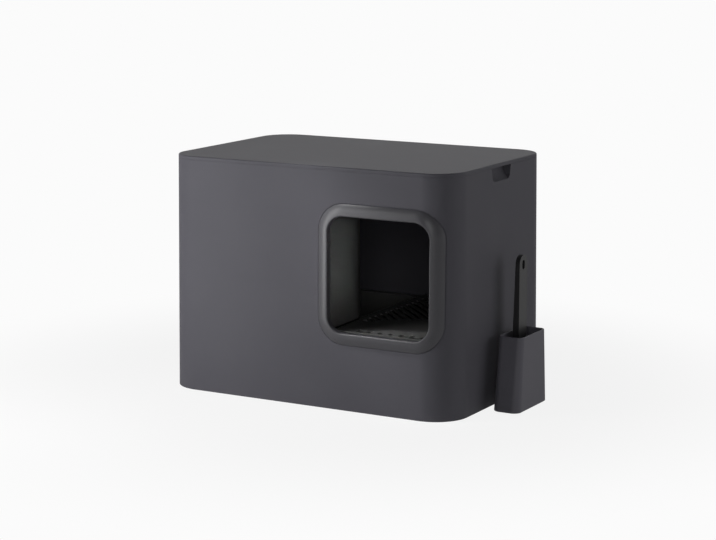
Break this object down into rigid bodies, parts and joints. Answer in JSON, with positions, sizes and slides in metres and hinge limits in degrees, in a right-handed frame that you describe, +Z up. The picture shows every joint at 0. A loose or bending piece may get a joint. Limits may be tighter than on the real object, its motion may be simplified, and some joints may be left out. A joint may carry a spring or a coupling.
{
  "type": "top entry litter box",
  "caption": "Enclosed litter box: flared shell with flush lift-off lid, raised rounded-square front entrance, slotted deck over a pan, and a scoop in its own floor-standing holder.",
  "frame": {"origin": "centre of the litter pan's flat underside, on the floor", "axes": "+Z up, +X to the right along the long side, towards the scoop holder, -Y out of the front wall with the entrance"},
  "size_m": [0.6108, 0.3754, 0.4],
  "materials": {
    "charcoal": "fine moulded texture, charcoal grey",
    "screw_steel": "zinc plated"
  },
  "bodies": {
    "pan": {"litter_pan": "charcoal"},
    "shell": {"outer_shell": "charcoal", "entry_bezel": "charcoal", "entry_collar": "charcoal", "collar_screws": "screw_steel", "side_baffle": "charcoal", "baffle_screws": "screw_steel"},
    "lid": {"lid": "charcoal"},
    "deck": {"entry_deck": "charcoal"},
    "holder": {"scoop_holder": "charcoal"},
    "scoop": {"scoop": "charcoal"}
  },
  "joints": [
    {"name": "shell_lift", "type": "slide", "parent": "pan", "child": "shell", "axis": [0, 0, 1], "range_m": [0, 0.3]},
    {"name": "lid_lift", "type": "slide", "parent": "shell", "child": "lid", "axis": [0, 0, 1], "range_m": [0, 0.2]},
    {"name": "deck_lift", "type": "slide", "parent": "pan", "child": "deck", "axis": [0, 0, 1], "range_m": [0, 0.2]},
    {"name": "holder_lift", "type": "slide", "parent": "pan", "child": "holder", "axis": [0, 0, 1], "range_m": [0, 0.25]},
    {"name": "scoop_lift", "type": "slide", "parent": "holder", "child": "scoop", "axis": [0, 0, 1], "range_m": [0, 0.26]}
  ]
}
